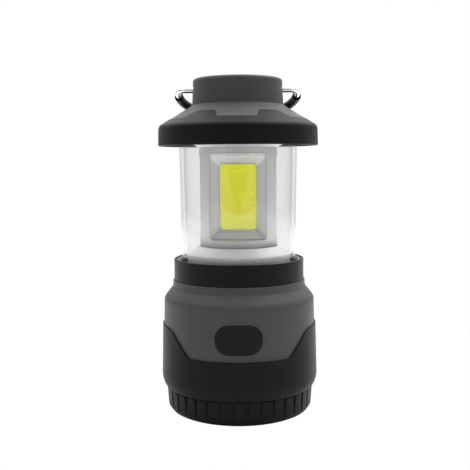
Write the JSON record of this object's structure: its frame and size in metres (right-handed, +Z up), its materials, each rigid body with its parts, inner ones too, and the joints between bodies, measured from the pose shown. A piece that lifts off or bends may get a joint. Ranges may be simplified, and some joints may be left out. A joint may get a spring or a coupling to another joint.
{
  "type": "camping lantern",
  "caption": "Battery camping lantern with ribbed screw cap, grey and black rubber-clad body, clear globe round a silver light post, capped head and folding wire bail.",
  "frame": {"origin": "on the table, under the middle of the battery cap", "axes": "+Z up along the lantern, front with the power button towards -Y, bail folded back towards +Y"},
  "size_m": [0.096, 0.096, 0.2],
  "materials": {
    "grey_plastic": "fine moulded texture",
    "black_plastic": "satin",
    "black_rubber": "matt, soft touch",
    "button_rubber": "matt, soft touch",
    "grip_rubber": "satin tube",
    "seal_rubber": "matt",
    "inner_plastic": "moulded",
    "ring_plastic": "satin",
    "clear_plastic": "clear, glossy",
    "silver_plating": "satin metallised plastic",
    "sink_aluminium": "extruded",
    "chrome_wire": "bright",
    "steel": "nickel plated",
    "phosphor": "soft silicone over yellow phosphor",
    "led_ceramic": "white solder mask",
    "circuit_laminate": "green solder mask",
    "chip_plastic": "moulded",
    "cell_wrapper": "plain metallised wrapper",
    "red_wire": "wire insulation",
    "black_wire": "wire insulation"
  },
  "bodies": {
    "lantern": {"base_shell": "grey_plastic", "base_sleeve": "black_rubber", "cap_seal": "seal_rubber", "battery_cradle": "inner_plastic", "cell_1": "cell_wrapper", "cell_2": "cell_wrapper", "cell_3": "cell_wrapper", "contact_board": "circuit_laminate", "top_contacts": "steel", "return_strip": "steel", "circuit_board": "circuit_laminate", "board_components": "chip_plastic", "led_lead_positive": "red_wire", "led_lead_negative": "black_wire", "switch_board": "circuit_laminate", "tact_switch": "chip_plastic", "neck_collar": "black_plastic", "globe_retainer": "ring_plastic", "globe_seal": "seal_rubber", "globe": "clear_plastic", "lower_reflector": "silver_plating", "upper_reflector": "silver_plating", "led_post": "silver_plating", "heat_sink": "sink_aluminium", "led_board_1": "led_ceramic", "led_board_2": "led_ceramic", "led_board_3": "led_ceramic", "led_phosphor_1": "phosphor", "led_phosphor_2": "phosphor", "led_phosphor_3": "phosphor", "head_seal": "seal_rubber", "head_plate": "black_plastic", "head_shell": "grey_plastic", "head_brim": "black_rubber", "collar_screws": "steel", "board_screws": "steel", "deck_screws": "steel", "spine_screws": "steel", "brim_screws": "steel"},
    "handle": {"handle_wire": "chrome_wire", "handle_grip": "grip_rubber", "pivot_washers": "steel"},
    "power_button": {"power_button": "button_rubber", "switch_plunger": "chip_plastic"},
    "contact_plate": {"contact_plate": "inner_plastic", "plate_strips": "steel", "contact_spring_1": "steel", "contact_spring_2": "steel", "contact_spring_3": "steel"},
    "battery_cap": {"battery_cap": "black_plastic", "cap_rivet": "steel"}
  },
  "joints": [
    {"name": "handle_swing", "type": "hinge", "parent": "lantern", "child": "handle", "pos_m": [0, 0, 0.193], "axis": [1, 0, 0], "range_deg": [0, 216.5]},
    {"name": "button_press", "type": "slide", "parent": "lantern", "child": "power_button", "axis": [0, 1, 0], "range_m": [0, 0.001], "stiffness_N_per_m": 800},
    {"name": "cap_lower", "type": "slide", "parent": "lantern", "child": "contact_plate", "axis": [0, 0, -1], "range_m": [0, 0.008]},
    {"name": "cap_unscrew", "type": "hinge", "parent": "contact_plate", "child": "battery_cap", "pos_m": [0, 0, 0], "axis": [0, 0, -1], "range_deg": [0, 721]}
  ],
  "couplings": [
    {"joint": "cap_unscrew", "follows": "cap_lower", "rad_per_m": 1570.8}
  ]
}
